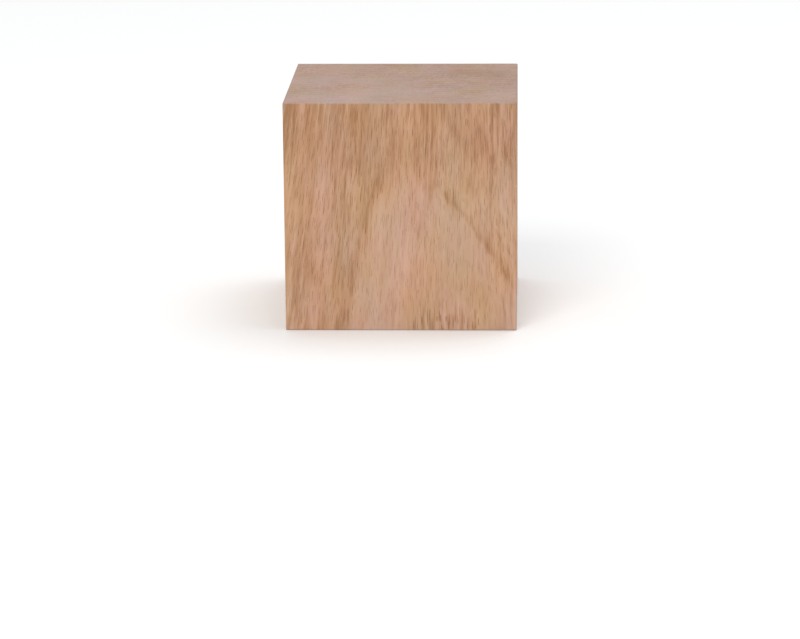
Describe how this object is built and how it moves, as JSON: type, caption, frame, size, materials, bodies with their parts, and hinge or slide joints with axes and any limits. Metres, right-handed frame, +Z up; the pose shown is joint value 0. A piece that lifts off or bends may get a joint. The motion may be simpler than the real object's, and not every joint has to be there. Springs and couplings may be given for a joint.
{
  "type": "wooden cube",
  "caption": "Solid hardwood cube with planed sides, crosscut ends and lightly eased edges, for stacking, propping, display or craft work.",
  "frame": {"origin": "middle of the end-grain face that the cube stands on", "axes": "+Z up, along the grain; -Y out of the front face, the flat-sawn one with the arched figure; +X to the right as seen from the front"},
  "size_m": [0.05, 0.05, 0.05],
  "materials": {
    "wood": "matte"
  },
  "bodies": {
    "root": {"wooden_cube": "wood"}
  },
  "joints": []
}
